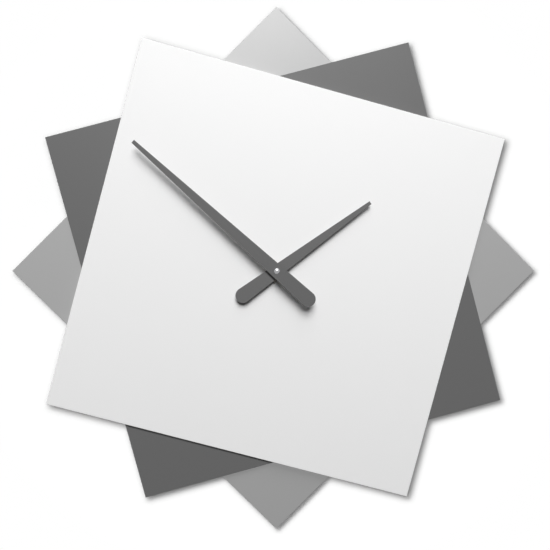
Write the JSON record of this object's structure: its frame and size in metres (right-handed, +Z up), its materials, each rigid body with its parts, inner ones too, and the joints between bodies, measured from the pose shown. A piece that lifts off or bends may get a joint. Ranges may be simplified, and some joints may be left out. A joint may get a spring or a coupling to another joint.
{
  "type": "wall clock",
  "caption": "Analogue wall clock: stacked square panels turned to make a star whose points mark the hours, tapered hands, quartz movement with hanger behind",
  "frame": {"origin": "on the hand axis, at the flat back of the movement that lies against the wall", "axes": "+X right as seen from the front, +Z up, +Y into the wall, so the dial faces -Y"},
  "size_m": [0.4526, 0.0382, 0.4526],
  "materials": {
    "white_lacquer": "satin white lacquer on sheet board",
    "dark_grey_lacquer": "satin dark grey lacquer on sheet board",
    "light_grey_lacquer": "satin light grey lacquer on sheet board",
    "hand_paint": "matt dark grey paint",
    "polished_steel": "polished",
    "brass": "turned",
    "zinc_plated_steel": "bright plated",
    "black_rubber": "matt",
    "black_plastic": "fine grain",
    "knob_plastic": "satin",
    "natural_plastic": "satin",
    "white_gear_plastic": "satin",
    "soft_iron": "bare stamped sheet",
    "magnet": "ground",
    "copper_wire": "enamelled wire",
    "board": "bare laminate",
    "black_resin": "glossy",
    "battery_jacket": "printed film"
  },
  "bodies": {
    "clock_body": {"rear_panel": "light_grey_lacquer", "middle_panel": "dark_grey_lacquer", "front_panel": "white_lacquer", "hanger_bracket": "zinc_plated_steel", "rubber_washer": "black_rubber", "brass_washer": "brass", "fixing_nut": "brass", "movement_case": "black_plastic", "rear_cover": "black_plastic", "threaded_bush": "brass", "train_bridge": "natural_plastic", "stator": "soft_iron", "coil_core": "soft_iron", "coil_bobbin": "natural_plastic", "coil_winding": "copper_wire", "coil_terminals": "zinc_plated_steel", "circuit_board": "board", "chip_blob": "black_resin", "quartz_crystal": "zinc_plated_steel", "positive_contact": "zinc_plated_steel", "negative_contact": "zinc_plated_steel"},
    "minute_work": {"minute_hand": "hand_paint", "minute_hand_bushing": "brass", "hand_cap": "polished_steel", "minute_arbor": "brass"},
    "hour_work": {"hour_hand": "hand_paint", "hour_hand_bushing": "brass", "hour_wheel": "white_gear_plastic"},
    "setting_work": {"setting_wheel": "white_gear_plastic", "setting_knob": "knob_plastic"},
    "centre_work": {"centre_wheel": "white_gear_plastic"},
    "third_work": {"third_wheel": "white_gear_plastic"},
    "seconds_work": {"seconds_wheel": "white_gear_plastic"},
    "intermediate_work": {"intermediate_wheel": "white_gear_plastic"},
    "rotor_work": {"rotor_pinion": "white_gear_plastic", "rotor_magnet": "magnet"},
    "battery_cell": {"battery": "battery_jacket"}
  },
  "joints": [
    {"name": "minute_hand_turn", "type": "hinge", "parent": "clock_body", "child": "minute_work", "pos_m": [0, -0.03455, 0], "axis": [0, 1, 0], "continuous": true},
    {"name": "hour_hand_turn", "type": "hinge", "parent": "clock_body", "child": "hour_work", "pos_m": [0, -0.02995, 0], "axis": [0, 1, 0], "continuous": true},
    {"name": "setting_knob_turn", "type": "hinge", "parent": "clock_body", "child": "setting_work", "pos_m": [0.0108, -0.0096, 0], "axis": [0, 1, 0], "continuous": true},
    {"name": "seconds_wheel_turn", "type": "hinge", "parent": "clock_body", "child": "seconds_work", "pos_m": [0, -0.0046, 0], "axis": [0, 1, 0], "continuous": true},
    {"name": "centre_wheel_turn", "type": "hinge", "parent": "clock_body", "child": "centre_work", "pos_m": [0, -0.00795, 0], "axis": [0, 1, 0], "continuous": true},
    {"name": "third_wheel_turn", "type": "hinge", "parent": "clock_body", "child": "third_work", "pos_m": [-0.01, -0.0062, 0], "axis": [0, 1, 0], "continuous": true},
    {"name": "intermediate_wheel_turn", "type": "hinge", "parent": "clock_body", "child": "intermediate_work", "pos_m": [0, -0.003, 0.0102], "axis": [0, 1, 0], "continuous": true},
    {"name": "rotor_turn", "type": "hinge", "parent": "clock_body", "child": "rotor_work", "pos_m": [-0.00655, -0.0046, 0.01479], "axis": [0, 1, 0], "continuous": true},
    {"name": "battery_slide", "type": "slide", "parent": "clock_body", "child": "battery_cell", "axis": [0, 1, 0], "range_m": [0, 0.03]}
  ],
  "couplings": [
    {"joint": "hour_hand_turn", "follows": "minute_hand_turn", "ratio": 0.083333},
    {"joint": "setting_knob_turn", "follows": "minute_hand_turn", "ratio": -0.33333},
    {"joint": "third_wheel_turn", "follows": "seconds_wheel_turn", "ratio": -0.13333},
    {"joint": "centre_wheel_turn", "follows": "seconds_wheel_turn", "ratio": 0.016667},
    {"joint": "intermediate_wheel_turn", "follows": "seconds_wheel_turn", "ratio": -5},
    {"joint": "rotor_turn", "follows": "seconds_wheel_turn", "ratio": 30}
  ]
}
